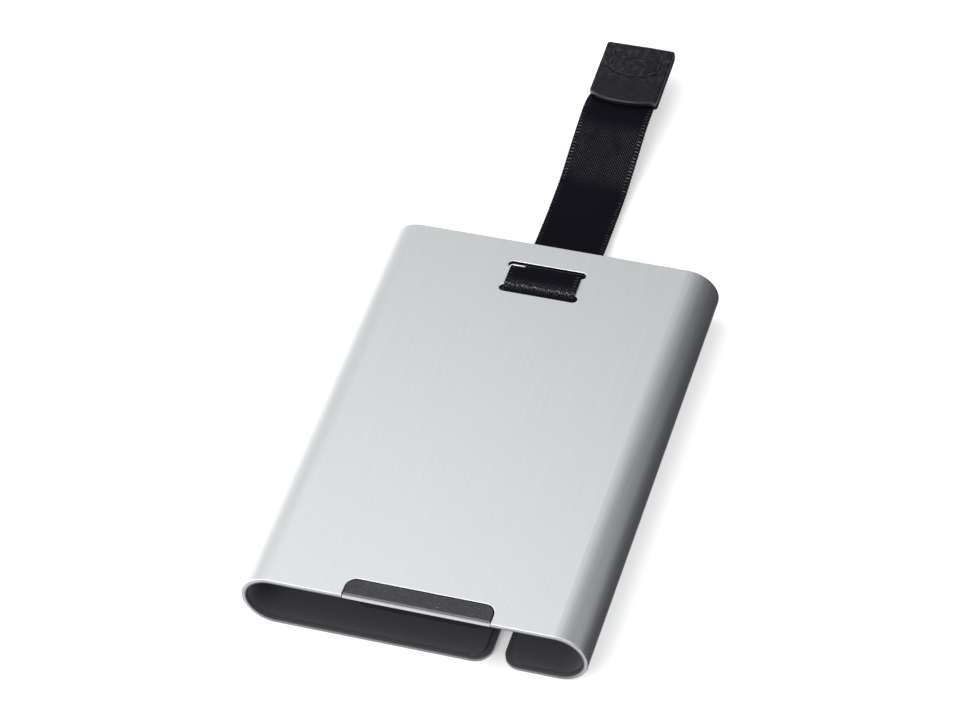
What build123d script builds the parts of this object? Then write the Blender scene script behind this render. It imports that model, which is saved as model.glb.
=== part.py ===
"""Card sleeve with a pull ribbon: a flat oval aluminium tube that holds bank cards.

Frame: millimetres. Origin at the centre of the back plate's outer face. +X across the width,
+Y along the length towards the end where the ribbon leaves, +Z out through the front plate.
"""
import math
import os

from build123d import *

# Sleeve: one sheet bent to a flattened oval tube
CASE_WIDTH = 63.5
CASE_LENGTH = 89.4
CASE_THICKNESS = 11.7
SHEET = 0.9
RIM_ROUND = 0.16

# Seam in the back plate, where the sheet's two long edges face each other
SEAM_CENTRE_X = 14.55
SEAM_GAP = 2.3
SEAM_CORNER_RADIUS = 3.2

# Two slots near the far end of the front plate, with a bridge between them
SLOT_CENTRE_X = 0.4
SLOT_LENGTH = 15.0
SLOT_HEIGHT = 1.65
FAR_SLOT_INSET = 6.0
NEAR_SLOT_INSET = 12.1

# Notch in the near end of the front plate
NOTCH_CENTRE_X = 0.95
NOTCH_WIDTH = 27.1
NOTCH_DEPTH = 4.15
NOTCH_CORNER_RADIUS = 2.0

# Lining bonded to the inside of the sleeve
LINING_GAP = 0.05
LINING = 0.25
LINING_END_INSET = 0.6
LINING_SEAM_INSET = 1.2
LINING_WINDOW_MARGIN = 1.4
LINING_STOP_MARGIN = 0.5

# Stop plate in the notch: tongue, bonding flange under the front plate, and card stop lip
STOP_SIDE_GAP = 0.12
STOP_THICKNESS = 1.0
STOP_SINK = 0.2
STOP_FLANGE_LENGTH = 10.0
STOP_LIP_INSET = 1.5
STOP_LIP_DROP = 2.1
STOP_LIP_WIDTH = 22.0
STOP_LIP_OVERLAP = 0.2
STOP_LIP_CORNER = 1.2
PAD_THICKNESS = 0.18
PAD_INSET = 0.06
PAD_NEAR_INSET = 0.3
PAD_EDGE_ROUND = 0.08

# Ribbon, which runs slightly askew: its middle moves across between the bridge and the bight
RIBBON_WIDTH = 13.7
RIBBON_THICKNESS = 0.45
BRIDGE_X = 0.4
TAIL_X = -0.3
RIBBON_CLEARANCE = 0.1
RIBBON_FOLD_RADIUS = 0.35
RIBBON_SPLIT_GAP = 0.1
RIBBON_UNDER_STOP = 0.25
RIBBON_END_WIDTH = 12.8
ANCHOR_OVERLAP = 5.4
ANCHOR_PLY_GAP = 0.13
ANCHOR_RISE_START = 0.9
ANCHOR_RISE_END = 2.3
ANCHOR_STITCH_ROWS = 2
ANCHOR_STITCHES = 7
ANCHOR_STITCH_INSET = 1.0
ANCHOR_STITCH_SPACE = 0.5
ANCHOR_ROW_INSET = 1.2
ANCHOR_ROW_PITCH = 1.8

# Bight: the turn of the ribbon round the cards' near edges, as it lies with the tail out
BIGHT_NEAR_Y = -20.2
BIGHT_LEG = 2.5

# Tail: leaves along the back plate, lifts in one arc, slopes up, and levels out before the tip
TAIL_STRAIGHT = 18.9
TAIL_LIFT_RADIUS = 54.0
TAIL_LIFT_ANGLE = 13.3
TAIL_SLOPE = 6.0
TAIL_LEVEL_RADIUS = 41.0
TIP_ANGLE = 3.4
TIP_HINGE_GAP = 0.3

# Leather tip, folded over the ribbon's end
TIP_X = 0.05
TIP_WIDTH = 13.7
TIP_LEAF = 1.15
TIP_FOLD_REACH = 17.2
TIP_SIDE_START = 2.8
TIP_BULGE = 1.4
TIP_FOLD_ROUND = 0.9
TIP_EDGE_ROUND = 0.3
TIP_LEAF_GAP = 0.03
TIP_END_GAP = 0.2
STITCH_LENGTH = 1.7
STITCH_PITCH = 2.2
STITCH_DIAMETER = 0.32
STITCH_SINK = 0.08
STITCH_SIDE_X = 4.85
STITCH_TOP_REACH = 15.5
STITCH_SIDE_REACH = 10.3
STITCH_BOTTOM_REACH = 8.7

# Places that follow from the sizes above
NEAR_Y = -CASE_LENGTH / 2
FAR_Y = CASE_LENGTH / 2
MID_Z = CASE_THICKNESS / 2
FRONT_INNER_Z = CASE_THICKNESS - SHEET
LINING_DEPTH = SHEET + LINING_GAP + LINING
BACK_LANE_Z = LINING_DEPTH + RIBBON_CLEARANCE + RIBBON_THICKNESS / 2
STOP_FLANGE_TOP = FRONT_INNER_Z - LINING_GAP
STOP_FLANGE_BOTTOM = STOP_FLANGE_TOP - STOP_THICKNESS
TONGUE_TOP = CASE_THICKNESS - STOP_SINK
TONGUE_BOTTOM = TONGUE_TOP - STOP_THICKNESS
FRONT_LANE_Z = STOP_FLANGE_BOTTOM - RIBBON_UNDER_STOP - RIBBON_THICKNESS / 2
BIGHT_RADIUS = (FRONT_LANE_Z - BACK_LANE_Z) / 2
BIGHT_CENTRE_Z = (FRONT_LANE_Z + BACK_LANE_Z) / 2
BIGHT_CENTRE_Y = BIGHT_NEAR_Y + RIBBON_THICKNESS / 2 + BIGHT_RADIUS
BIGHT_END_Y = BIGHT_CENTRE_Y + BIGHT_LEG
FAR_SLOT_Y = FAR_Y - FAR_SLOT_INSET
NEAR_SLOT_Y = FAR_Y - NEAR_SLOT_INSET
BRIDGE_FAR_Y = FAR_SLOT_Y - SLOT_HEIGHT / 2
BRIDGE_NEAR_Y = NEAR_SLOT_Y + SLOT_HEIGHT / 2
ANCHOR_MAIN_Z = CASE_THICKNESS - LINING_DEPTH - RIBBON_CLEARANCE - RIBBON_THICKNESS / 2
ANCHOR_END_Z = ANCHOR_MAIN_Z - RIBBON_THICKNESS - ANCHOR_PLY_GAP
ANCHOR_END_Y = NEAR_SLOT_Y - ANCHOR_OVERLAP
STEEP = math.radians(TAIL_LIFT_ANGLE)
SETTLED = math.radians(TIP_ANGLE)
LIFT_RUN = TAIL_LIFT_RADIUS * math.sin(STEEP)
LIFT_RISE = TAIL_LIFT_RADIUS * (1 - math.cos(STEEP))
SLOPE_START_Y = FAR_Y + TAIL_STRAIGHT + LIFT_RUN
SLOPE_START_Z = BACK_LANE_Z + LIFT_RISE
SLOPE_END_Y = SLOPE_START_Y + TAIL_SLOPE * math.cos(STEEP)
SLOPE_END_Z = SLOPE_START_Z + TAIL_SLOPE * math.sin(STEEP)
HINGE_Y = SLOPE_END_Y + TAIL_LEVEL_RADIUS * (math.sin(STEEP) - math.sin(SETTLED))
HINGE_Z = SLOPE_END_Z + TAIL_LEVEL_RADIUS * (math.cos(SETTLED) - math.cos(STEEP))
LEVEL_TURN = TIP_ANGLE - TAIL_LIFT_ANGLE + math.degrees(TIP_HINGE_GAP / TAIL_LEVEL_RADIUS)


def oval_prism(inset, length):
    """The tube's oval, inset from its outer face, as a prism of this length centred on Y."""
    plane = Plane(origin=(0, length / 2, MID_Z), x_dir=(1, 0, 0), z_dir=(0, 1, 0))
    outline = SlotOverall(CASE_WIDTH - 2 * inset, CASE_THICKNESS - 2 * inset)
    return extrude(plane * outline, -length)


def block(low, high):
    """A box between two opposite corners."""
    size = [b - a for a, b in zip(low, high)]
    centre = [(a + b) / 2 for a, b in zip(low, high)]
    return Pos(*centre) * Box(*size)


def notch_outline(side_gap, depth, radius):
    """The notch's outline in plan, open at the near end: a rectangle with two rounded far corners."""
    width = NOTCH_WIDTH - 2 * side_gap
    reach = depth + radius
    centre_y = NEAR_Y + depth - reach / 2
    return Pos(NOTCH_CENTRE_X, centre_y) * RectangleRounded(width, reach, radius * 0.999)


def sleeve_shell():
    """The bent sheet with its seam, slots and notch, and lightly rounded rims."""
    shell = oval_prism(0, CASE_LENGTH) - oval_prism(SHEET, CASE_LENGTH + 2)
    shell -= block(
        (SEAM_CENTRE_X - SEAM_GAP / 2, NEAR_Y - 1, -1),
        (SEAM_CENTRE_X + SEAM_GAP / 2, FAR_Y + 1, SHEET + 1),
    )
    seam_edges = shell.edges().filter_by(Axis.Z).filter_by(lambda e: e.center().Z < SHEET)
    shell = fillet(seam_edges, SEAM_CORNER_RADIUS)
    front = Plane.XY.offset(FRONT_INNER_Z - 1)
    for slot_y in (FAR_SLOT_Y, NEAR_SLOT_Y):
        slot = Pos(SLOT_CENTRE_X, slot_y) * SlotOverall(SLOT_LENGTH, SLOT_HEIGHT)
        shell -= extrude(front * slot, SHEET + 2)
    notch = notch_outline(0, NOTCH_DEPTH, NOTCH_CORNER_RADIUS)
    shell -= extrude(front * notch, SHEET + 2)
    return round_rims(shell)


def round_rims(shell):
    """Soften the outer rims of the two open ends, the slots, the notch and the seam."""
    outer = []
    for edge in shell.edges():
        middle = edge @ 0.5
        on_front = abs(middle.Z - CASE_THICKNESS) < 0.01
        on_back = abs(middle.Z) < 0.01
        side = math.hypot(abs(middle.X) - (CASE_WIDTH - CASE_THICKNESS) / 2, middle.Z - MID_Z)
        past_flat = abs(middle.X) > (CASE_WIDTH - CASE_THICKNESS) / 2
        on_side = past_flat and abs(side - CASE_THICKNESS / 2) < 0.01
        lengthwise = edge.length > CASE_LENGTH - 0.1
        if (on_front or on_back or on_side) and not lengthwise:
            outer.append(edge)
    return fillet(outer, RIM_ROUND)


def inner_lining():
    """Thin black lining on the sleeve's inside, with windows for the slots and the stop plate."""
    length = CASE_LENGTH - 2 * LINING_END_INSET
    lining = oval_prism(SHEET + LINING_GAP, length) - oval_prism(LINING_DEPTH, length + 2)
    half_seam = SEAM_GAP / 2 + LINING_SEAM_INSET
    lining -= block(
        (SEAM_CENTRE_X - half_seam, NEAR_Y - 1, 0),
        (SEAM_CENTRE_X + half_seam, FAR_Y + 1, LINING_DEPTH + 1),
    )
    seam_edges = lining.edges().filter_by(Axis.Z).filter_by(lambda e: e.center().Z < MID_Z)
    lining = fillet(seam_edges, SEAM_CORNER_RADIUS - LINING_END_INSET)
    margin = LINING_WINDOW_MARGIN
    lining -= block(
        (SLOT_CENTRE_X - SLOT_LENGTH / 2 - margin, ANCHOR_END_Y - margin, MID_Z),
        (SLOT_CENTRE_X + SLOT_LENGTH / 2 + margin, FAR_SLOT_Y + margin, CASE_THICKNESS),
    )
    half_notch = NOTCH_WIDTH / 2 + LINING_STOP_MARGIN
    lining -= block(
        (NOTCH_CENTRE_X - half_notch, NEAR_Y - 1, MID_Z),
        (NOTCH_CENTRE_X + half_notch, NEAR_Y + STOP_FLANGE_LENGTH + LINING_STOP_MARGIN, CASE_THICKNESS),
    )
    return lining


def stop_plate():
    """Tongue that fills the notch, joggled flange bonded under the front plate, and stop lip."""
    profile = [
        (0, TONGUE_BOTTOM),
        (0, TONGUE_TOP),
        (NOTCH_DEPTH - STOP_SIDE_GAP, TONGUE_TOP),
        (NOTCH_DEPTH - STOP_SIDE_GAP, STOP_FLANGE_TOP),
        (STOP_FLANGE_LENGTH, STOP_FLANGE_TOP),
        (STOP_FLANGE_LENGTH, STOP_FLANGE_BOTTOM),
        (STOP_LIP_INSET, STOP_FLANGE_BOTTOM),
        (STOP_LIP_INSET, TONGUE_BOTTOM),
    ]
    width = NOTCH_WIDTH - 2 * STOP_SIDE_GAP
    plate = side_prism(profile, NOTCH_CENTRE_X, width)
    corners = plate.edges().filter_by(Axis.Z)
    inner = corners.filter_by(lambda e: e.center().Y > NEAR_Y + 1 and e.center().Z > STOP_FLANGE_TOP)
    plate = fillet(inner, NOTCH_CORNER_RADIUS - STOP_SIDE_GAP)
    return plate + stop_lip()


def side_prism(profile, centre_x, width):
    """A prism across the width from (distance from the near end, height) points."""
    plane = Plane(origin=(centre_x - width / 2, 0, 0), x_dir=(0, 1, 0), z_dir=(1, 0, 0))
    points = [(NEAR_Y + y, z) for y, z in profile]
    return extrude(plane * make_face(Polyline(*points, close=True)), width)


def stop_lip():
    """The lip that the cards' near edges stop against, with rounded lower corners."""
    top = STOP_FLANGE_BOTTOM + STOP_LIP_OVERLAP
    height = STOP_LIP_DROP + STOP_LIP_OVERLAP
    plane = Plane(origin=(0, NEAR_Y + STOP_LIP_INSET, 0), x_dir=(1, 0, 0), z_dir=(0, -1, 0))
    face = Pos(NOTCH_CENTRE_X, top - height / 2) * Rectangle(STOP_LIP_WIDTH, height)
    lip = extrude(plane * face, -STOP_THICKNESS)
    lower = lip.edges().filter_by(Axis.Y).filter_by(lambda e: e.center().Z < top - height / 2)
    return fillet(lower, STOP_LIP_CORNER)


def stop_pad():
    """Thin grained facing bonded on the tongue, with a soft upper edge."""
    inset = STOP_SIDE_GAP + PAD_INSET
    outline = notch_outline(inset, NOTCH_DEPTH - inset, NOTCH_CORNER_RADIUS - inset)
    kept_y = NEAR_Y + PAD_NEAR_INSET + NOTCH_DEPTH / 2
    outline &= Pos(NOTCH_CENTRE_X, kept_y) * Rectangle(NOTCH_WIDTH, NOTCH_DEPTH)
    pad = extrude(Plane.XY.offset(TONGUE_TOP) * outline, PAD_THICKNESS)
    return fillet(pad.faces().sort_by(Axis.Z)[-1].edges(), PAD_EDGE_ROUND)


def strap(route, width=RIBBON_WIDTH):
    """A flat strap that follows a route of lines and arcs in the YZ plane."""
    start = Plane(origin=route @ 0, x_dir=(1, 0, 0), z_dir=route % 0)
    return sweep(start * Rectangle(width, RIBBON_THICKNESS), path=route)


def at(y, z, x=TAIL_X):
    """A point on the ribbon's own centre line."""
    return Vector(x, y, z)


def ribbon_anchor_loop():
    """The ribbon's fixed end: in under the bridge, up the far slot, over, and down the near slot."""
    top_z = CASE_THICKNESS + RIBBON_CLEARANCE + RIBBON_THICKNESS / 2
    far_y = BRIDGE_FAR_Y + RIBBON_CLEARANCE + RIBBON_THICKNESS / 2
    near_y = BRIDGE_NEAR_Y - RIBBON_CLEARANCE - RIBBON_THICKNESS / 2
    corners = [
        (ANCHOR_END_Y, ANCHOR_END_Z),
        (near_y + ANCHOR_RISE_START, ANCHOR_END_Z),
        (near_y + ANCHOR_RISE_END, ANCHOR_MAIN_Z),
        (far_y, ANCHOR_MAIN_Z),
        (far_y, top_z),
        (near_y, top_z),
        (near_y, ANCHOR_MAIN_Z),
        (ANCHOR_END_Y, ANCHOR_MAIN_Z),
    ]
    points = [at(y, z, BRIDGE_X) for y, z in corners]
    return strap(FilletPolyline(*points, radius=RIBBON_FOLD_RADIUS))


def thread(start, end, diameter=STITCH_DIAMETER):
    """One stitch: a round thread between two points, with ball ends."""
    line = Line(start, end)
    rod = extrude(Plane(origin=start, z_dir=line % 0) * Circle(diameter / 2), line.length)
    return rod + Pos(*start) * Sphere(diameter / 2) + Pos(*end) * Sphere(diameter / 2)


def anchor_stitching():
    """Rows of thread that sew the ribbon's end to its main run, seen from inside the sleeve."""
    under = ANCHOR_END_Z - RIBBON_THICKNESS / 2 - STITCH_DIAMETER / 2 + STITCH_SINK
    pitch = (RIBBON_WIDTH - 2 * ANCHOR_STITCH_INSET) / ANCHOR_STITCHES
    half = (pitch - ANCHOR_STITCH_SPACE) / 2
    stitches = []
    for row in range(ANCHOR_STITCH_ROWS):
        y = ANCHOR_END_Y + ANCHOR_ROW_INSET + ANCHOR_ROW_PITCH * row
        for number in range(ANCHOR_STITCHES):
            x = BRIDGE_X - RIBBON_WIDTH / 2 + ANCHOR_STITCH_INSET + pitch * (number + 0.5)
            stitches.append(thread(Vector(x - half, y, under), Vector(x + half, y, under)))
    return Compound(children=stitches)


def ribbon_front_run():
    """The run along the inside of the front plate, from the anchor down and across to the bight."""
    first = at(ANCHOR_END_Y - RIBBON_SPLIT_GAP, ANCHOR_MAIN_Z, BRIDGE_X)
    last = at(BIGHT_END_Y + RIBBON_SPLIT_GAP, FRONT_LANE_Z)
    ends = [Plane(origin=end, x_dir=(1, 0, 0), z_dir=(0, -1, 0)) for end in (first, last)]
    return loft([end * Rectangle(RIBBON_WIDTH, RIBBON_THICKNESS) for end in ends])


def ribbon_bight():
    """The half turn round the cards' near edges, with a short leg on each side."""
    turn = CenterArc((0, 0), BIGHT_RADIUS, 90, 180)
    turn = Plane(origin=at(BIGHT_CENTRE_Y, BIGHT_CENTRE_Z), x_dir=(0, 1, 0), z_dir=(1, 0, 0)) * turn
    upper = Line(at(BIGHT_END_Y, FRONT_LANE_Z), at(BIGHT_CENTRE_Y, FRONT_LANE_Z))
    lower = Line(at(BIGHT_CENTRE_Y, BACK_LANE_Z), at(BIGHT_END_Y, BACK_LANE_Z))
    return strap(Wire([upper, turn, lower]))


def ribbon_back_run():
    """The run along the back plate, from the bight to the far end."""
    first = at(BIGHT_END_Y + RIBBON_SPLIT_GAP, BACK_LANE_Z)
    return strap(Line(first, at(FAR_Y, BACK_LANE_Z)))


def tip_plane():
    """The tip's own plane: its origin on the hinge line, local X along the tip, local Y up."""
    along = (0, math.cos(SETTLED), math.sin(SETTLED))
    return Plane(origin=(TIP_X, HINGE_Y, HINGE_Z), x_dir=along, z_dir=(1, 0, 0))


def ribbon_tail():
    """The ribbon outside the sleeve: straight, then up in one arc, and level again in another."""
    lift = side_arc(SLOPE_START_Y - LIFT_RUN, BACK_LANE_Z + TAIL_LIFT_RADIUS)
    lift *= CenterArc((0, 0), TAIL_LIFT_RADIUS, -90, TAIL_LIFT_ANGLE)
    level_z = SLOPE_END_Z - TAIL_LEVEL_RADIUS * math.cos(STEEP)
    level = side_arc(SLOPE_END_Y + TAIL_LEVEL_RADIUS * math.sin(STEEP), level_z)
    level *= CenterArc((0, 0), TAIL_LEVEL_RADIUS, 90 + TAIL_LIFT_ANGLE, LEVEL_TURN)
    flat = Line(at(FAR_Y, BACK_LANE_Z), at(FAR_Y + TAIL_STRAIGHT, BACK_LANE_Z))
    return strap(Wire([flat, lift, Line(lift @ 1, level @ 0), level]))


def side_arc(y, z):
    """A plane in the ribbon's middle, seen from the side, whose origin is an arc's centre."""
    return Plane(origin=at(y, z), x_dir=(0, 1, 0), z_dir=(1, 0, 0))


def ribbon_end():
    """The ribbon's end inside the folded leather, centred in it."""
    plane = tip_plane()
    first = plane.from_local_coords(Vector(TIP_HINGE_GAP, 0, 0))
    last = plane.from_local_coords(Vector(TIP_FOLD_REACH - TIP_LEAF - TIP_END_GAP, 0, 0))
    return strap(Line(first, last), width=RIBBON_END_WIDTH)


def tip_leather():
    """Leather folded over the ribbon's end: two leaves with bowed free ends, joined by the fold."""
    inner = RIBBON_THICKNESS / 2 + TIP_LEAF_GAP
    outer = inner + TIP_LEAF
    folded = Rectangle(TIP_FOLD_REACH, 2 * outer, align=(Align.MIN, Align.CENTER))
    folded = fillet(folded.vertices().group_by(Axis.X)[-1], TIP_FOLD_ROUND)
    folded -= Rectangle(TIP_FOLD_REACH - TIP_LEAF, 2 * inner, align=(Align.MIN, Align.CENTER))
    solid = extrude(tip_plane() * folded, TIP_WIDTH / 2, both=True)
    leaves = solid & tip_outline_prism(2 * outer + 2)
    faces = leaves.faces().filter_by(GeomType.CYLINDER)
    return soften(leaves, faces)


def tip_outline_prism(height):
    """The leaves' outline in plan: straight sides and one bowed free end, as a tall prism."""
    half = TIP_WIDTH / 2
    start = TIP_SIDE_START
    bow = ThreePointArc((start, half), (start - TIP_BULGE, 0), (start, -half))
    past = TIP_FOLD_REACH + 1
    sides = Polyline((start, -half), (past, -half), (past, half), (start, half))
    face = make_face([bow, sides])
    tip = tip_plane()
    plan = Plane(origin=tip.origin, x_dir=tip.x_dir, z_dir=tip.y_dir)
    return extrude(plan * face, height / 2, both=True)


def soften(leaves, faces):
    """Round the outer edges of the bowed free ends a little, where the solid allows it."""
    bows = faces.filter_by(lambda f: abs(f.radius - bow_radius()) < 0.01)
    edges = ShapeList(e for f in bows for e in f.edges() if e.geom_type == GeomType.CIRCLE)
    plane = tip_plane()
    outer = edges.filter_by(lambda e: abs(plane.to_local_coords(e.center()).Y) > TIP_LEAF)
    return fillet(outer, TIP_EDGE_ROUND)


def bow_radius():
    """The radius of the bowed free end, from its width and its bulge."""
    return (TIP_WIDTH**2 / 4 + TIP_BULGE**2) / (2 * TIP_BULGE)


def stitch_route():
    """The U-shaped stitch line on the leaf: down one side, round the bottom and up the other."""
    left = Line((STITCH_TOP_REACH, STITCH_SIDE_X), (STITCH_SIDE_REACH, STITCH_SIDE_X))
    bottom = ThreePointArc(
        (STITCH_SIDE_REACH, STITCH_SIDE_X), (STITCH_BOTTOM_REACH, 0), (STITCH_SIDE_REACH, -STITCH_SIDE_X)
    )
    right = Line((STITCH_SIDE_REACH, -STITCH_SIDE_X), (STITCH_TOP_REACH, -STITCH_SIDE_X))
    return Wire([left, bottom, right])


def tip_stitching():
    """The stitches on both faces of the leather tip."""
    route = stitch_route()
    count = int(route.length / STITCH_PITCH)
    face_height = RIBBON_THICKNESS / 2 + TIP_LEAF_GAP + TIP_LEAF + STITCH_DIAMETER / 2 - STITCH_SINK
    tip = tip_plane()
    plan = Plane(origin=tip.origin, x_dir=tip.x_dir, z_dir=tip.y_dir)
    stitches = []
    for number in range(count):
        middle = (number + 0.5) / count
        half = STITCH_LENGTH / 2 / route.length
        start = route @ (middle - half)
        end = route @ (middle + half)
        for height in (face_height, -face_height):
            ends = [plan.from_local_coords(Vector(p.X, p.Y, height)) for p in (start, end)]
            stitches.append(thread(*ends))
    return Compound(children=stitches)


NODES = {
    "sleeve_shell": sleeve_shell,
    "inner_lining": inner_lining,
    "stop_plate": stop_plate,
    "stop_pad": stop_pad,
    "ribbon_anchor_loop": ribbon_anchor_loop,
    "anchor_stitching": anchor_stitching,
    "ribbon_front_run": ribbon_front_run,
    "ribbon_bight": ribbon_bight,
    "ribbon_back_run": ribbon_back_run,
    "ribbon_tail": ribbon_tail,
    "ribbon_end": ribbon_end,
    "tip_leather": tip_leather,
    "tip_stitching": tip_stitching,
}

os.makedirs("parts", exist_ok=True)
for name, make in NODES.items():
    export_step(make(), f"parts/{name}.step")
    print("wrote", name)
print(f"hinge at y {HINGE_Y:.3f} z {HINGE_Z:.3f}, bight end y {BIGHT_END_Y:.3f}")
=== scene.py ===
"""Looks for a card sleeve with a pull ribbon: brushed aluminium, woven ribbon and stitched leather."""
import math

import bpy
from mathutils import Matrix, Vector, noise


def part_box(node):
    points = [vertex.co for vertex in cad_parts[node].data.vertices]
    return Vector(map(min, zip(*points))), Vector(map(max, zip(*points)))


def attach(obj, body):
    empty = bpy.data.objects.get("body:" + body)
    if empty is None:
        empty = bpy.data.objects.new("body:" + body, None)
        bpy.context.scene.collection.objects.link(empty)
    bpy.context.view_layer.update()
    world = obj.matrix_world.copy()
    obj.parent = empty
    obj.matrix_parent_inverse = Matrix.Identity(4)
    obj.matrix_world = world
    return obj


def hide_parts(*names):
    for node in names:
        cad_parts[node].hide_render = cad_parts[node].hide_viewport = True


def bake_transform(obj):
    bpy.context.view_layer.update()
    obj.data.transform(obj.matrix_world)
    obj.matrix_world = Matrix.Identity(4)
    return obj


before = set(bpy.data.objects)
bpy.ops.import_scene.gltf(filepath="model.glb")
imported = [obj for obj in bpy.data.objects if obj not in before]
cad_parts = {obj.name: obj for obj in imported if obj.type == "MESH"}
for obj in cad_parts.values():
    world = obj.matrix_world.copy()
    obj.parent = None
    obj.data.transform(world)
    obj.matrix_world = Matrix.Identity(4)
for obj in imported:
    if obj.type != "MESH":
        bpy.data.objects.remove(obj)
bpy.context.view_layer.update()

MM = 0.001
SHELL_LOW, SHELL_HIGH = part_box("sleeve_shell")
NEAR_Y = SHELL_LOW.y / MM
FAR_Y = SHELL_HIGH.y / MM
TOP_Z = SHELL_HIGH.z / MM
HALF_WIDTH = SHELL_HIGH.x / MM
SHEET = 0.9

# ---------------------------------------------------------------- camera, floor and light


def add_camera():
    """A long lens looking down on the sleeve's open near end, from the front right."""
    yaw, pitch, roll = (math.radians(a) for a in (-20.945, 47.223, -5.472))
    distance, side_step, rise = 0.71018, 0.00128, -0.014835
    look = Vector((math.sin(yaw) * math.cos(pitch), math.cos(yaw) * math.cos(pitch), -math.sin(pitch)))
    level = Vector((math.cos(yaw), -math.sin(yaw), 0))
    upright = level.cross(look)
    right = level * math.cos(roll) + upright * math.sin(roll)
    up = upright * math.cos(roll) - level * math.sin(roll)
    target = Vector((0, 0, TOP_Z * MM / 2))
    data = bpy.data.cameras.new("camera")
    data.lens = 147.007
    data.sensor_width = 36
    data.clip_start = 0.01
    data.clip_end = 20
    camera = bpy.data.objects.new("camera", data)
    turn = Matrix((right, up, -look)).transposed().to_4x4()
    camera.matrix_world = Matrix.Translation(target - look * distance - right * side_step - up * rise) @ turn
    bpy.context.scene.collection.objects.link(camera)
    bpy.context.scene.camera = camera


def add_floor():
    """A plain pale floor just under the sleeve."""
    size = 1.6
    drop = -0.00005
    mesh = bpy.data.meshes.new("floor")
    corners = [(-size, -size, drop), (size, -size, drop), (size, size, drop), (-size, size, drop)]
    mesh.from_pydata(corners, [], [(0, 1, 2, 3)])
    floor = bpy.data.objects.new("floor", mesh)
    bpy.context.scene.collection.objects.link(floor)
    material = bpy.data.materials.new("pale_floor")
    material.use_nodes = True
    shader = material.node_tree.nodes["Principled BSDF"]
    shader.inputs["Base Color"].default_value = (0.93, 0.93, 0.935, 1)
    shader.inputs["Roughness"].default_value = 0.7
    shader.inputs["Specular IOR Level"].default_value = 0.2
    shader.inputs["Emission Color"].default_value = (1, 1, 1, 1)
    shader.inputs["Emission Strength"].default_value = 0.2
    mesh.materials.append(material)


def add_world():
    """Soft studio surroundings: bright above and to the left, falling off to the right."""
    world = bpy.data.worlds.new("studio")
    bpy.context.scene.world = world
    world.use_nodes = True
    tree = world.node_tree
    back = tree.nodes["Background"]
    place = tree.nodes.new("ShaderNodeTexCoord")
    along = tree.nodes.new("ShaderNodeVectorMath")
    along.operation = "DOT_PRODUCT"
    along.inputs[1].default_value = (-0.80, 0.0, 0.45)
    spread = tree.nodes.new("ShaderNodeMapRange")
    spread.inputs["From Min"].default_value = -0.9
    spread.inputs["From Max"].default_value = 0.9
    ramp = tree.nodes.new("ShaderNodeValToRGB")
    ramp.color_ramp.interpolation = "EASE"
    stops = ((0.0, 0.20), (0.45, 0.34), (0.72, 0.72), (1.0, 1.0))
    ramp.color_ramp.elements[0].position = stops[0][0]
    ramp.color_ramp.elements[1].position = stops[-1][0]
    for position, _ in stops[1:-1]:
        ramp.color_ramp.elements.new(position)
    for element, (_, value) in zip(ramp.color_ramp.elements, stops):
        element.color = (value * 0.985, value * 0.995, value, 1)
    tree.links.new(place.outputs["Generated"], along.inputs[0])
    tree.links.new(along.outputs["Value"], spread.inputs["Value"])
    tree.links.new(spread.outputs["Result"], ramp.inputs["Fac"])
    tree.links.new(ramp.outputs["Color"], back.inputs["Color"])
    back.inputs["Strength"].default_value = 1.0


def add_area(name, place, size, watts, target=(0, 0, 0.005)):
    """One soft area light that looks at the sleeve."""
    data = bpy.data.lights.new(name, "AREA")
    data.shape = "RECTANGLE"
    data.size, data.size_y = size
    data.energy = watts
    light = bpy.data.objects.new(name, data)
    light.location = place
    light.rotation_euler = (Vector(target) - Vector(place)).to_track_quat("-Z", "Y").to_euler()
    bpy.context.scene.collection.objects.link(light)
    return light


def add_flag():
    """A dark card beside the right side, seen only in reflections, which gives that side its dark edge."""
    near, far, start, wall, rise = -0.2, 0.3, HALF_WIDTH * MM + 0.0006, 0.13, 0.10
    profile = [(start, 0.0002), (wall, 0.0002), (wall + 0.02, rise)]
    corners = [(x, y, z) for x, z in profile for y in (near, far)]
    mesh = bpy.data.meshes.new("flag")
    mesh.from_pydata(corners, [], [(0, 2, 3, 1), (2, 4, 5, 3)])
    flag = bpy.data.objects.new("flag", mesh)
    bpy.context.scene.collection.objects.link(flag)
    material = bpy.data.materials.new("dark_card")
    material.use_nodes = True
    shader = material.node_tree.nodes["Principled BSDF"]
    shader.inputs["Roughness"].default_value = 0.9
    shader.inputs["Specular IOR Level"].default_value = 0.0
    tree = material.node_tree
    place = tree.nodes.new("ShaderNodeTexCoord")
    split = tree.nodes.new("ShaderNodeSeparateXYZ")
    along = tree.nodes.new("ShaderNodeMapRange")
    upward = tree.nodes.new("ShaderNodeMapRange")
    for key, value in (("From Min", 0.0), ("From Max", 0.14), ("To Min", 0.42), ("To Max", 0.07)):
        along.inputs[key].default_value = value
    for key, value in (("From Min", 0.002), ("From Max", 0.03)):
        upward.inputs[key].default_value = value
    blend = tree.nodes.new("ShaderNodeMix")
    blend.data_type = "RGBA"
    blend.inputs["A"].default_value = (0.055, 0.055, 0.062, 1)
    tree.links.new(place.outputs["Object"], split.inputs[0])
    tree.links.new(split.outputs["Y"], along.inputs["Value"])
    tree.links.new(split.outputs["Z"], upward.inputs["Value"])
    tree.links.new(upward.outputs["Result"], blend.inputs["Factor"])
    tree.links.new(along.outputs["Result"], blend.inputs["B"])
    tree.links.new(blend.outputs["Result"], shader.inputs["Base Color"])
    mesh.materials.append(material)
    flag.visible_camera = False
    flag.visible_diffuse = False
    flag.visible_shadow = False
    flag.visible_transmission = False


# ---------------------------------------------------------------- material helpers


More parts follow.
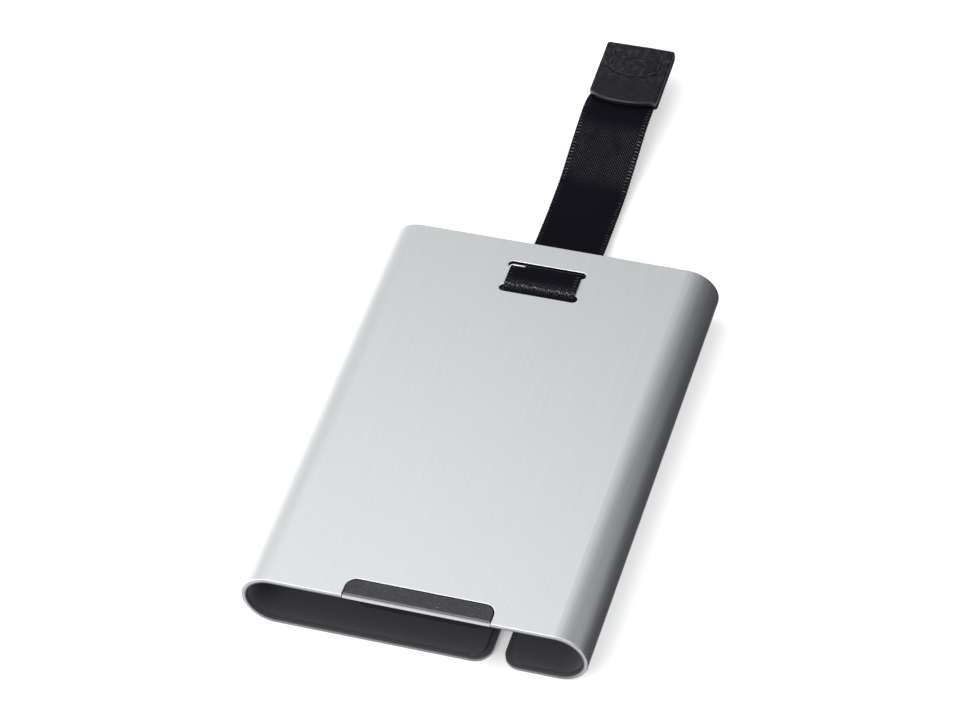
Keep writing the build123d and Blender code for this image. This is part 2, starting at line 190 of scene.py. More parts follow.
class Shader:
    """A material with its Principled shader and short ways to add and join nodes."""

    def __init__(self, name, roughness, metallic=0.0, specular=0.5):
        self.material = bpy.data.materials.new(name)
        self.material.use_nodes = True
        self.tree = self.material.node_tree
        self.base = self.tree.nodes["Principled BSDF"]
        self.base.inputs["Roughness"].default_value = roughness
        self.base.inputs["Metallic"].default_value = metallic
        self.base.inputs["Specular IOR Level"].default_value = specular

    def node(self, kind, **settings):
        made = self.tree.nodes.new(kind)
        for key, value in settings.items():
            setattr(made, key, value)
        return made

    def feed(self, socket, value):
        """Join an output to a socket, or set the socket's own value."""
        if isinstance(value, bpy.types.NodeSocket):
            self.tree.links.new(value, socket)
        else:
            socket.default_value = value

    def math(self, operation, *values):
        made = self.node("ShaderNodeMath", operation=operation)
        for socket, value in zip(made.inputs, values):
            self.feed(socket, value)
        return made.outputs[0]

    def axes(self, vector):
        made = self.node("ShaderNodeSeparateXYZ")
        self.feed(made.inputs[0], vector)
        return made.outputs

    def place(self, scale=(1, 1, 1)):
        """Position in the row's frame, in millimetres, times a scale."""
        coordinates = self.node("ShaderNodeTexCoord")
        mapping = self.node("ShaderNodeMapping")
        mapping.inputs["Scale"].default_value = [s / MM for s in scale]
        self.feed(mapping.inputs["Vector"], coordinates.outputs["Object"])
        return mapping.outputs[0]

    def uv(self, scale=(1, 1, 1)):
        """The strap's own coordinates in millimetres: across, and along its length."""
        coordinates = self.node("ShaderNodeTexCoord")
        mapping = self.node("ShaderNodeMapping")
        mapping.inputs["Scale"].default_value = scale
        self.feed(mapping.inputs["Vector"], coordinates.outputs["UV"])
        return mapping.outputs[0]

    def noise(self, vector, scale=1.0, detail=3.0, roughness=0.5):
        made = self.node("ShaderNodeTexNoise")
        self.feed(made.inputs["Vector"], vector)
        made.inputs["Scale"].default_value = scale
        made.inputs["Detail"].default_value = detail
        made.inputs["Roughness"].default_value = roughness
        return made.outputs[0]

    def cells(self, vector, scale=1.0, feature="F1"):
        made = self.node("ShaderNodeTexVoronoi", feature=feature)
        self.feed(made.inputs["Vector"], vector)
        made.inputs["Scale"].default_value = scale
        return made.outputs["Distance"]

    def remap(self, value, low, high, to_low, to_high, smooth=False):
        made = self.node("ShaderNodeMapRange")
        if smooth:
            made.interpolation_type = "SMOOTHSTEP"
        self.feed(made.inputs["Value"], value)
        for key, number in zip(("From Min", "From Max", "To Min", "To Max"), (low, high, to_low, to_high)):
            made.inputs[key].default_value = number
        return made.outputs[0]

    def mix(self, factor, first, second):
        made = self.node("ShaderNodeMix", data_type="RGBA")
        self.feed(made.inputs["Factor"], factor)
        self.feed(made.inputs["A"], first)
        self.feed(made.inputs["B"], second)
        return made.outputs["Result"]

    def bump(self, height, distance_mm, strength=1.0, over=None):
        made = self.node("ShaderNodeBump")
        made.inputs["Strength"].default_value = strength
        made.inputs["Distance"].default_value = distance_mm * MM
        self.feed(made.inputs["Height"], height)
        if over is not None:
            self.feed(made.inputs["Normal"], over)
        return made.outputs[0]

    def finish(self, **inputs):
        names = {"color": "Base Color", "roughness": "Roughness", "normal": "Normal", "metallic": "Metallic"}
        for key, value in inputs.items():
            self.feed(self.base.inputs[names[key]], value)
        return self.material


# ---------------------------------------------------------------- materials


def shell_depth(shader):
    """How far a point lies under the sleeve's oval outer face, in millimetres."""
    x, _, z = shader.axes(shader.place())
    radius = TOP_Z / 2
    past = shader.math("SUBTRACT", shader.math("ABSOLUTE", x), HALF_WIDTH - radius)
    past = shader.math("MAXIMUM", past, 0.0)
    height = shader.math("SUBTRACT", z, radius)
    square = shader.math("MULTIPLY", past, past)
    square = shader.math("ADD", square, shader.math("MULTIPLY", height, height))
    return shader.math("SUBTRACT", radius, shader.math("SQRT", square))


def aluminium():
    """Satin anodised outside with a grain along the length, bare cut edges, black inside; painted shade
    darkens the cut edges towards the bottom and a painted highlight lightens the cut faces round the front
    cut-out's rim.
    """
    s = Shader("satin_aluminium", 0.36, metallic=1.0)
    s.base.inputs["Anisotropic"].default_value = 0.55
    depth = shell_depth(s)
    grain = s.noise(s.place((7.0, 0.035, 7.0)), detail=4.0, roughness=0.62)
    hair = s.noise(s.place((16.0, 0.16, 16.0)), detail=2.0, roughness=0.5)
    cloud = s.noise(s.place((0.05, 0.03, 0.05)), detail=2.0)
    fine = s.math("ADD", s.math("MULTIPLY", grain, 0.65), s.math("MULTIPLY", hair, 0.35))
    tone = s.remap(fine, 0.3, 0.7, 0.0, 1.0)
    outer = s.mix(tone, (0.606, 0.620, 0.623, 1), (0.706, 0.720, 0.722, 1))
    outer = s.mix(s.math("MULTIPLY", cloud, 0.25), outer, (0.61, 0.63, 0.65, 1))
    speck = s.noise(s.place((3.2, 3.2, 3.2)), detail=5.0, roughness=0.7)
    cut = s.mix(speck, (0.30, 0.305, 0.335, 1), (0.43, 0.435, 0.475, 1))
    _, y, z = s.axes(s.place())
    # Painted shade: the cut edges are painted darker towards the bottom.
    cut = s.mix(s.remap(z, SHEET, 3.0, 0.85, 0.0), cut, (0.225, 0.228, 0.252, 1))
    # Painted highlight: the cut faces round the front plate's cut-out at the near end are painted near
    # white.
    painted_notch_rim_highlight = s.remap(y, NEAR_Y + 0.4, NEAR_Y + 0.6, 0.0, 1.0)
    painted_notch_rim_highlight = s.math("MULTIPLY", painted_notch_rim_highlight, s.remap(y, NEAR_Y + 5, NEAR_Y + 6, 1.0, 0.0))
    painted_notch_rim_highlight = s.math("MULTIPLY", painted_notch_rim_highlight, s.remap(z, TOP_Z - 0.5, TOP_Z - 0.4, 0.0, 1.0))
    cut = s.mix(painted_notch_rim_highlight, cut, (0.93, 0.94, 0.95, 1))
    at_face = s.remap(depth, 0.07, 0.17, 0.0, 1.0, smooth=True)
    at_inside = s.remap(depth, SHEET - 0.30, SHEET - 0.16, 0.0, 1.0, smooth=True)
    colour = s.mix(at_face, outer, cut)
    colour = s.mix(at_inside, colour, (0.062, 0.062, 0.067, 1))
    metal = s.math("SUBTRACT", 1.0, at_inside)
    rough = s.remap(fine, 0.25, 0.75, 0.31, 0.41)
    rough = s.math("ADD", rough, s.math("MULTIPLY", at_face, 0.05))
    rough = s.math("ADD", rough, s.math("MULTIPLY", at_inside, 0.25))
    normal = s.bump(fine, 0.006, strength=0.35)
    normal = s.bump(speck, 0.02, strength=0.12, over=normal)
    tangent = s.node("ShaderNodeTangent", direction_type="RADIAL", axis="Y")
    s.feed(s.base.inputs["Tangent"], tangent.outputs[0])
    return s.finish(color=colour, roughness=rough, metallic=metal, normal=normal)


def stop_metal():
    """Bare metal on the cut front end of the stop plate and its front ledge, black paint elsewhere."""
    s = Shader("stop_plate_metal", 0.42, metallic=1.0, specular=0.08)
    _, y, z = s.axes(s.place())
    end = s.remap(y, NEAR_Y + 0.32, NEAR_Y + 0.40, 1.0, 0.0)
    end = s.math("MULTIPLY", end, s.remap(z, TOP_Z - 0.86, TOP_Z - 0.80, 0.0, 1.0))
    speck = s.noise(s.place((5.0, 5.0, 5.0)), detail=5.0, roughness=0.7)
    bare = s.mix(speck, (0.46, 0.45, 0.47, 1), (0.58, 0.57, 0.59, 1))
    paint = s.mix(speck, (0.005, 0.005, 0.006, 1), (0.010, 0.010, 0.012, 1))
    rough = s.remap(speck, 0.2, 0.8, 0.36, 0.5)
    rough = s.math("ADD", rough, s.math("MULTIPLY", s.math("SUBTRACT", 1.0, end), 0.35))
    normal = s.bump(speck, 0.03, strength=0.25)
    return s.finish(color=s.mix(end, paint, bare), metallic=end, roughness=rough, normal=normal)


def stop_facing():
    """Black grained facing with a soft sheen, pale specks, faint cross scratches and a painted highlight
    along its front edge.
    """
    s = Shader("black_grained_facing", 0.5, specular=0.35)
    grain = s.cells(s.place((3.4, 3.4, 3.4)), feature="DISTANCE_TO_EDGE")
    pores = s.noise(s.place((9.0, 9.0, 9.0)), detail=4.0, roughness=0.7)
    streak = s.noise(s.place((1.1, 7.5, 1.0)), detail=3.0, roughness=0.6)
    specks = s.remap(s.noise(s.place((2.3, 2.3, 2.3)), detail=2.0), 0.70, 0.74, 0.0, 1.0)
    streak = s.remap(streak, 0.3, 0.7, 0.0, 1.0)
    colour = s.mix(streak, (0.007, 0.007, 0.010, 1), (0.042, 0.042, 0.052, 1))
    colour = s.mix(s.math("MULTIPLY", specks, 0.6), colour, (0.26, 0.26, 0.26, 1))
    _, y, _ = s.axes(s.place())
    # Painted highlight: a pale grey band along the facing's front edge.
    painted_edge_highlight = s.remap(y, NEAR_Y + 0.55, NEAR_Y + 0.68, 1.0, 0.0)
    colour = s.mix(s.math("MULTIPLY", painted_edge_highlight, 0.8), colour, (0.16, 0.16, 0.165, 1))
    rough = s.remap(pores, 0.2, 0.8, 0.36, 0.56)
    normal = s.bump(s.math("MINIMUM", grain, 0.25), 0.05, strength=0.35)
    normal = s.bump(pores, 0.02, strength=0.5, over=normal)
    return s.finish(color=colour, roughness=rough, normal=normal)


def lining():
    """Matte black lining with a very fine felt-like grain, and painted shade on its end faces."""
    s = Shader("matte_black_lining", 0.82, specular=0.25)
    s.base.inputs["Sheen Weight"].default_value = 0.15
    s.base.inputs["Sheen Roughness"].default_value = 0.5
    fibre = s.noise(s.place((6.0, 6.0, 6.0)), detail=5.0, roughness=0.75)
    patch = s.noise(s.place((0.12, 0.12, 0.12)), detail=2.0)
    colour = s.mix(fibre, (0.045, 0.045, 0.048, 1), (0.075, 0.075, 0.080, 1))
    colour = s.mix(s.math("MULTIPLY", patch, 0.4), colour, (0.062, 0.064, 0.074, 1))
    _, y, _ = s.axes(s.place())
    # Painted shade: the lining's end faces are painted darker.
    cut = s.remap(s.math("ABSOLUTE", y), FAR_Y - 0.64, FAR_Y - 0.62, 0.0, 1.0)
    colour = s.mix(cut, colour, (0.022, 0.022, 0.024, 1))
    return s.finish(color=colour, normal=s.bump(fibre, 0.04, strength=0.4))


def ribbon_cloth():
    """Black satin: painted glints on the floats, in patches where the surface faces the front, a painted
    highlight along the bridge's crease, and painted glints on the selvedge loops, brighter on the right.
    """
    s = Shader("black_satin_ribbon", 0.44, specular=0.022)
    across, along, _ = s.axes(s.uv())
    drift = s.noise(s.uv((0.5, 0.3, 1)), detail=3.0)
    across_turn = s.math("MULTIPLY", across, 2 * math.pi / WEAVE_ACROSS)
    across_turn = s.math("ADD", across_turn, s.math("MULTIPLY", drift, 2.2))
    along_turn = s.math("MULTIPLY", along, 2 * math.pi / WEAVE_ALONG)
    along_turn = s.math("ADD", along_turn, s.math("MULTIPLY", drift, 2.6))
    floats = s.math("MULTIPLY", s.math("COSINE", across_turn), s.math("COSINE", along_turn))
    warp = s.math("SINE", s.math("MULTIPLY", across, 2 * math.pi / WARP_PITCH))
    reach = s.math("ABSOLUTE", across)
    edge = s.remap(reach, 5.75, 6.0, 0.0, 1.0, smooth=True)
    band = s.math("MULTIPLY", edge, s.remap(reach, 6.45, 6.75, 1.0, 0.0, smooth=True))
    field = s.math("SUBTRACT", 1.0, edge)
    rung_shift = s.math("MULTIPLY", reach, 1.2)
    rung_turn = s.math("ADD", s.math("MULTIPLY", along, 2 * math.pi / SELVEDGE_PITCH), rung_shift)
    rungs = s.math("SINE", s.math("ADD", rung_turn, s.math("MULTIPLY", drift, 3.0)))
    height = s.math("ADD", s.math("MULTIPLY", floats, 0.7), s.math("MULTIPLY", warp, 0.25))
    height = s.math("ADD", s.math("MULTIPLY", height, field), s.math("MULTIPLY", rungs, edge))
    grains = s.noise(s.uv((1.6, 1.6, 1)), detail=2.0)
    patch = s.remap(s.noise(s.uv((0.13, 0.075, 1)), detail=2.0), 0.36, 0.56, 0.35, 1.0, smooth=True)
    # Painted glints: the floats are painted lighter, in patches, where the surface faces the front.
    facing = s.math("MULTIPLY", s.axes(s.node("ShaderNodeNewGeometry").outputs["Normal"])[1], -1.0)
    turned = s.remap(facing, 0.11, 0.21, 0.0, 1.0, smooth=True)
    turned = s.math("MULTIPLY", turned, s.remap(facing, 0.40, 0.75, 1.0, 0.5, smooth=True))
    lit = s.math("MULTIPLY", patch, s.math("ADD", s.math("MULTIPLY", turned, 0.95), 0.05))
    # Painted highlight along the crease where the ribbon turns over the bridge, spreading a little onto the
    # top before it.
    crease = s.remap(along, CREASE_START, CREASE_START + 0.4, 0.0, 1.0)
    crease = s.math("MULTIPLY", crease, s.remap(along, CREASE_END, CREASE_END + 0.3, 1.0, 0.0))
    approach = s.remap(along, CREASE_START, CREASE_TOP, 0.0, 0.6)
    painted_crease_glint = s.math("MAXIMUM", approach, s.remap(facing, 0.06, 0.22, 0.0, 1.0, smooth=True))
    painted_crease_glint = s.math("MULTIPLY", crease, painted_crease_glint)
    lit = s.math("MAXIMUM", lit, painted_crease_glint)
    glint = s.math("MULTIPLY", s.remap(floats, 0.50, 0.92, 0.0, 1.0), lit)
    glint = s.math("MULTIPLY", s.math("MULTIPLY", glint, field), s.remap(grains, 0.25, 0.6, 0.3, 1.0))
    # Painted glints on the selvedge loops, lighter where the surface faces the front and on the right edge.
    painted_selvedge_glint = s.math("MULTIPLY", band, s.remap(rungs, 0.0, 0.9, 0.0, 1.0, smooth=True))
    broken = s.noise(s.uv((0.9, 1.3, 1)), detail=2.0)
    painted_selvedge_glint = s.math("MULTIPLY", painted_selvedge_glint, s.remap(broken, 0.38, 0.60, 0.1, 1.0))
    side = s.remap(across, -1.0, 1.0, 0.18, 0.34)
    painted_selvedge_glint = s.math("MULTIPLY", painted_selvedge_glint, s.math("ADD", s.math("MULTIPLY", turned, 0.58), side))
    # Painted highlight: a speckled light line along the crease.
    ridge = s.math("MULTIPLY", crease, s.remap(facing, 0.05, 0.20, 0.0, 1.0, smooth=True))
    ridge = s.math("MULTIPLY", ridge, s.remap(facing, 0.35, 0.80, 1.0, 0.0, smooth=True))
    spread = s.math("MULTIPLY", crease, approach)
    sparks = s.remap(s.noise(s.uv((3.0, 3.0, 1)), detail=2.0, roughness=0.7), 0.48, 0.64, 0.0, 1.0)
    ridge = s.math("MAXIMUM", s.math("MULTIPLY", ridge, 0.75), s.math("MULTIPLY", spread, 0.20))
    ridge = s.math("MULTIPLY", ridge, sparks)
    # Colour of the painted glints, a little dimmer along the crease.
    bright = s.mix(crease, (0.115, 0.115, 0.128, 1), (0.10, 0.10, 0.11, 1))
    colour = s.mix(glint, (0.0032, 0.0032, 0.0056, 1), bright)
    colour = s.mix(ridge, colour, (0.30, 0.29, 0.29, 1))
    colour = s.mix(painted_selvedge_glint, colour, (0.115, 0.115, 0.124, 1))
    rough = s.remap(glint, 0.0, 1.0, 0.52, 0.36)
    return s.finish(color=colour, roughness=rough, normal=s.bump(height, 0.04, strength=0.45))


def leather():
    """Black leather: fine grain, pores, mottling round the seam, and a burnished, glossy rim."""
    s = Shader("black_tip_leather", 0.44, specular=0.13)
    s.base.inputs["Coat Roughness"].default_value = 0.14
    grain = s.cells(s.place((2.4, 2.4, 2.4)), feature="DISTANCE_TO_EDGE")
    small = s.cells(s.place((5.5, 5.5, 5.5)), feature="DISTANCE_TO_EDGE")
    pores = s.noise(s.place((7.0, 7.0, 7.0)), detail=4.0, roughness=0.7)
    swirl = s.noise(s.place((0.9, 0.9, 0.9)), detail=6.0, roughness=0.8)
    marks = s.remap(swirl, 0.50, 0.66, 0.0, 1.0)
    wear = s.noise(s.place((0.22, 0.22, 0.22)), detail=3.0)
    colour = s.mix(wear, (0.003, 0.003, 0.005, 1), (0.008, 0.008, 0.013, 1))
    _, y, _ = s.axes(s.place())
    creased = s.remap(y, HINGE_Y + STITCH_LOW - 3, HINGE_Y + STITCH_LOW + 1, 0.18, 0.6, smooth=True)
    colour = s.mix(s.math("MULTIPLY", marks, creased), colour, (0.056, 0.055, 0.068, 1))
    rough = s.remap(pores, 0.2, 0.8, 0.26, 0.50)
    rim, across, _ = s.axes(s.uv())
    sides = s.remap(s.math("ABSOLUTE", across), TIP_HALF - 0.5, TIP_HALF - 0.1, 0.0, 0.4)
    rough = s.math("SUBTRACT", rough, s.math("MULTIPLY", rim, 0.12))
    rough = s.math("ADD", rough, sides)
    burnished = s.math("MULTIPLY", s.remap(rim, 0.7, 1.0, 0.0, 1.0), 0.7)
    colour = s.mix(burnished, colour, (0.017, 0.013, 0.013, 1))
    s.feed(s.base.inputs["Coat Weight"], s.math("ADD", s.math("MULTIPLY", rim, 0.85), 0.02))
    fold = s.math("MULTIPLY", s.math("MINIMUM", small, 0.15), 0.6)
    fold = s.math("ADD", s.math("MINIMUM", grain, 0.20), fold)
    normal = s.bump(fold, 0.08, strength=0.5)
    normal = s.bump(swirl, 0.30, strength=0.6, over=normal)
    normal = s.bump(pores, 0.02, strength=0.35, over=normal)
    return s.finish(color=colour, roughness=rough, normal=normal)


def thread():
    """Waxed black thread with a fine twist."""
    s = Shader("waxed_black_thread", 0.34, specular=0.38)
    twist = s.noise(s.place((9.0, 9.0, 9.0)), detail=2.0)
    colour = s.mix(twist, (0.006, 0.006, 0.008, 1), (0.020, 0.020, 0.026, 1))
    return s.finish(color=colour, normal=s.bump(twist, 0.03, strength=0.4))


# ---------------------------------------------------------------- mesh helpers


def new_piece(name, vertices, faces, material, uvs=None):
    """A smooth-shaded mesh piece from points in millimetres."""
    mesh = bpy.data.meshes.new(name)
    mesh.from_pydata([(x * MM, y * MM, z * MM) for x, y, z in vertices], [], faces)
    if uvs is not None:
        layer = mesh.uv_layers.new(name="strap")
        for loop in mesh.loops:
            layer.data[loop.index].uv = uvs[loop.vertex_index]
    for polygon in mesh.polygons:
        polygon.use_smooth = True
    mesh.materials.append(material)
    piece = bpy.data.objects.new(name, mesh)
    bpy.context.scene.collection.objects.link(piece)
    return piece


def tube(path, radius, sides=8):
    """Vertices and faces of a round tube along a path of points, closed at both ends."""
    vertices, faces = [], []
    count = len(path)
    for number, point in enumerate(path):
        ahead = path[min(number + 1, count - 1)] - path[max(number - 1, 0)]
        ahead.normalize()
        side = ahead.cross(Vector((0, 0, 1)) if abs(ahead.z) < 0.9 else Vector((1, 0, 0))).normalized()
        up = side.cross(ahead)
        taper = 0.55 if number in (0, count - 1) else 1.0
        for k in range(sides):
            angle = 2 * math.pi * k / sides
            vertices.append(point + (side * math.cos(angle) + up * math.sin(angle)) * radius * taper)
    for ring in range(count - 1):
        for k in range(sides):
            a, b = ring * sides + k, ring * sides + (k + 1) % sides
            faces.append((a, b, b + sides, a + sides))
    faces.append(tuple(reversed(range(sides))))
    faces.append(tuple(range((count - 1) * sides, count * sides)))
    return vertices, faces


def rounded_route(corners, radii, step):
    """Points along straight runs joined by tangent arcs, as (y, z, heading) in millimetres."""
    points = [Vector(corners[0])]
    for index in range(1, len(corners) - 1):
        before, corner, after = (Vector(corners[index + k]) for k in (-1, 0, 1))
        back, ahead = (before - corner).normalized(), (after - corner).normalized()
        half = back.angle(ahead) / 2
        radius = radii[index - 1]
        reach = radius / math.tan(half)
        centre = corner + (back + ahead).normalized() * radius / math.sin(half)
        first, last = corner + back * reach - centre, corner + ahead * reach - centre
        turn = first.angle_signed(last)
        parts = max(6, int(abs(turn) * radius / step))
        for k in range(parts + 1):
            points.append(centre + Matrix.Rotation(-turn * k / parts, 2) @ first)
    points.append(Vector(corners[-1]))
    return even_steps(points, step)


def even_steps(points, step):
    """Add points on the long runs so that none is longer than the step."""
    dense = [points[0]]
    for point in points[1:]:
        gap = (point - dense[-1]).length
        if gap < 1e-5:
            continue
        start = dense[-1].copy()
        parts = max(1, math.ceil(gap / step))
        dense.extend(start.lerp(point, k / parts) for k in range(1, parts + 1))
    return dense


# ---------------------------------------------------------------- ribbon

RIBBON_HALF = 6.85
RIBBON_THICK = 0.42
BRIDGE_X = 0.4
TAIL_X = -0.3
BACK_LANE = 1.525
FRONT_LANE = 9.275
ANCHOR_MAIN = 10.175
ANCHOR_END = 9.595
ANCHOR_END_Y = 27.2
BRIDGE_TOP = 12.025
BRIDGE_NEAR = 33.1
BRIDGE_FAR = 38.2
BIGHT_END_Y = -13.6
BIGHT_TURN_Y = -19.975
TAIL_STRAIGHT = 18.9
LIFT_RADIUS = 54.0
LIFT_ANGLE = math.radians(13.3)
LEVEL_RADIUS = 41.0
TIP_ANGLE = math.radians(3.4)
TIP_X = 0.05
HINGE_Y = FAR_Y + 44.161
HINGE_Z = 5.381
TIP_INSIDE = 15.6
RIBBON_STEP = 0.18
SELVEDGE_PITCH = 0.78
WEAVE_ACROSS = 0.52
WEAVE_ALONG = 0.68
WARP_PITCH = 0.185
CREASE_START = 15.4
CREASE_TOP = 17.1
CREASE_END = 19.0


def ribbon_section():
    """The ribbon's cross section, as (across, height) pairs going round: thin field, beaded edges."""
    half, thick = RIBBON_HALF, RIBBON_THICK / 2
    field = thick * 0.80
    top = [(-half + 0.10, thick * 0.75), (-half + 0.30, thick), (-half + 0.50, thick * 0.78)]
    top += [(-half + 0.66, field)]
    top += [(x, field) for x in (-5.4, -4.2, -2.8, -1.4, 0, 1.4, 2.8, 4.2, 5.4)]
    top += [(-x, w) for x, w in reversed(top[:4])]
    edge = [(half, 0)]
    bottom = [(x, -w) for x, w in reversed(top)]
    return top + edge + bottom + [(-half, 0)]


def ribbon_place(length, swing):
    """The ribbon's middle and its width's share: both change smoothly between two lengths."""
    start, end, first, last, share = swing
    part = min(1.0, max(0.0, (length - start) / (end - start)))
    part = part * part * (3 - 2 * part)
    return first + (last - first) * part, 1 + (share - 1) * part


def strap(name, route, material, swing, start_length=0.0):
    """A ribbon along a route of (y, z) points, with its own across and along coordinates."""
    section = ribbon_section()
    vertices, uvs, faces = [], [], []
    length = start_length
    count, sides = len(route), len(section)
    for number, point in enumerate(route):
        if number:
            length += (point - route[number - 1]).length
        ahead = (route[min(number + 1, count - 1)] - route[max(number - 1, 0)]).normalized()
        normal = Vector((-ahead.y, ahead.x))
        middle, share = ribbon_place(length, swing)
        for across, height in section:
            reach = abs(across) / RIBBON_HALF
            bead = 0.04 * max(0.0, (reach - 0.94) / 0.06) * math.cos(2 * math.pi * length / SELVEDGE_PITCH)
            ripple = 0.05 * reach**3 * math.sin(length * 0.55 + (1.3 if across > 0 else 0))
            wide = across * share * (1 + bead / RIBBON_HALF)
            y, z = point + normal * (height + ripple)
            vertices.append((middle + wide, y, z))
            uvs.append((across, length))
    for ring in range(count - 1):
        for k in range(sides):
            a, b = ring * sides + k, ring * sides + (k + 1) % sides
            faces.append((a, a + sides, b + sides, b))
    faces.append(tuple(range(sides)))
    faces.append(tuple(reversed(range((count - 1) * sides, count * sides))))
    piece = new_piece(name, vertices, faces, material, uvs)
    sharpen_ends(piece, count * sides, sides)
    piece["flat_length"] = length - start_length
    return piece, length


def sharpen_ends(piece, total, sides):
    """Keep a strap's two end caps from bending the shading of its long faces."""
    first, last = set(range(sides)), set(range(total - sides, total))
    for edge in piece.data.edges:
        ends = set(edge.vertices)
        edge.use_edge_sharp = ends <= first or ends <= last


def declare_ribbon(piece, nodes):
    """Hide the imported nodes that a ribbon piece replaces, and bake its placement into its mesh."""
    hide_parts(*nodes)
    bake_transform(piece)


def make_ribbon(cloth):
    """One ribbon in three lengths that meet edge to edge."""
    turn = (FRONT_LANE - BACK_LANE) / 2
    middle = (FRONT_LANE + BACK_LANE) / 2
    split_y = FAR_Y - 3
    upper = rounded_route(
        [
            (ANCHOR_END_Y, ANCHOR_END), (BRIDGE_NEAR + 0.9, ANCHOR_END), (BRIDGE_NEAR + 2.3, ANCHOR_MAIN),
            (BRIDGE_FAR, ANCHOR_MAIN), (BRIDGE_FAR, BRIDGE_TOP), (BRIDGE_NEAR, BRIDGE_TOP),
            (BRIDGE_NEAR, ANCHOR_MAIN), (ANCHOR_END_Y, ANCHOR_MAIN), (BIGHT_END_Y, FRONT_LANE),
            (BIGHT_TURN_Y, FRONT_LANE), (BIGHT_TURN_Y, middle),
        ],
        [0.6, 0.6, 0.5, 0.5, 0.5, 0.5, 30, 30, turn * 0.999],
        RIBBON_STEP,
    )
    first, length = strap("ribbon_upper_run", upper, cloth, (22, 62, BRIDGE_X, TAIL_X, 1))
    lower = rounded_route(
        [(BIGHT_TURN_Y, middle), (BIGHT_TURN_Y, BACK_LANE), (split_y, BACK_LANE)],
        [turn * 0.999],
        RIBBON_STEP,
    )
    second, length = strap("ribbon_lower_run", lower, cloth, (0, 1, TAIL_X, TAIL_X, 1), length)
    lift_corner = FAR_Y + TAIL_STRAIGHT + LIFT_RADIUS * math.tan(LIFT_ANGLE / 2)
    back_from_hinge = LEVEL_RADIUS * math.tan((LIFT_ANGLE - TIP_ANGLE) / 2)
    tip_way = Vector((math.cos(TIP_ANGLE), math.sin(TIP_ANGLE)))
    hinge = Vector((HINGE_Y, HINGE_Z))
    level_corner = hinge - tip_way * back_from_hinge
    tail = rounded_route(
        [(split_y, BACK_LANE), (lift_corner, BACK_LANE), level_corner, hinge + tip_way * TIP_INSIDE],
        [LIFT_RADIUS, LEVEL_RADIUS],
        RIBBON_STEP,
    )
    swing = (length + 48.5, length + 53.5, TAIL_X, TIP_X, 0.95)
    third, length = strap("ribbon_tail_run", tail, cloth, swing, length)
    declare_ribbon(first, ["ribbon_anchor_loop", "ribbon_front_run"])
    declare_ribbon(second, ["ribbon_bight", "ribbon_back_run"])
    declare_ribbon(third, ["ribbon_tail", "ribbon_end"])


# ---------------------------------------------------------------- leather tip

TIP_HALF = 6.85
LEAF_INNER = 0.27
LEAF = 1.12
TIP_FOLD = 17.2
TIP_SIDE_START = 2.8
TIP_BULGE = 1.4
STITCH_X = 4.85
STITCH_TOP = 15.5
STITCH_TURN = 10.3
STITCH_LOW = 8.7
STITCH_PITCH = 2.2


def tip_point(x, u, w):
    """A point of the tip: across, along it from the hinge, and up from the ribbon's centre line."""
    y = HINGE_Y + u * math.cos(TIP_ANGLE) - w * math.sin(TIP_ANGLE)
    z = HINGE_Z + u * math.sin(TIP_ANGLE) + w * math.cos(TIP_ANGLE)
    return Vector((TIP_X + x, y, z))


def stitch_line(step):
    """Points (u, x) of the U-shaped seam: down one side, round the bottom, and up the other."""
    sag = STITCH_TURN - STITCH_LOW
    radius = (STITCH_X**2 + sag**2) / (2 * sag)
    centre = STITCH_LOW + radius
    half = math.asin(STITCH_X / radius)
    points = [Vector((STITCH_TOP, STITCH_X)), Vector((STITCH_TURN, STITCH_X))]
    for k in range(1, 24):
        angle = half * (1 - 2 * k / 24)
        points.append(Vector((centre - radius * math.cos(angle), radius * math.sin(angle))))
    points += [Vector((STITCH_TURN, -STITCH_X)), Vector((STITCH_TOP, -STITCH_X))]
    return even_steps(points, step)


def free_end(x):
    """Where the bowed free end of a leaf lies at this distance from the middle."""
    corner = max(0.0, -x / TIP_HALF - 0.45) / 0.55
    return TIP_SIDE_START - TIP_BULGE + 1.1 * (x / TIP_HALF) ** 2 + 0.8 * corner**2


def leaf_relief(x, u, seam, top):
    """Height added to a leaf's outer face: the pressed seam, a soft crown, and slow unevenness."""
    near = min((Vector((u, x)) - point).length for point in seam)
    groove = -0.16 * math.exp(-((near / 0.42) ** 2))
    crown = 0.07 * (1 - (x / TIP_HALF) ** 2)
    rise = u - free_end(x)
    lip = 0.16 * math.exp(-rise / 1.6) if top else 0.0
    uneven = 0.05 * noise.noise(Vector((x * 0.28, u * 0.28, 3.7 if top else 9.1)))
    return groove + crown + lip + uneven


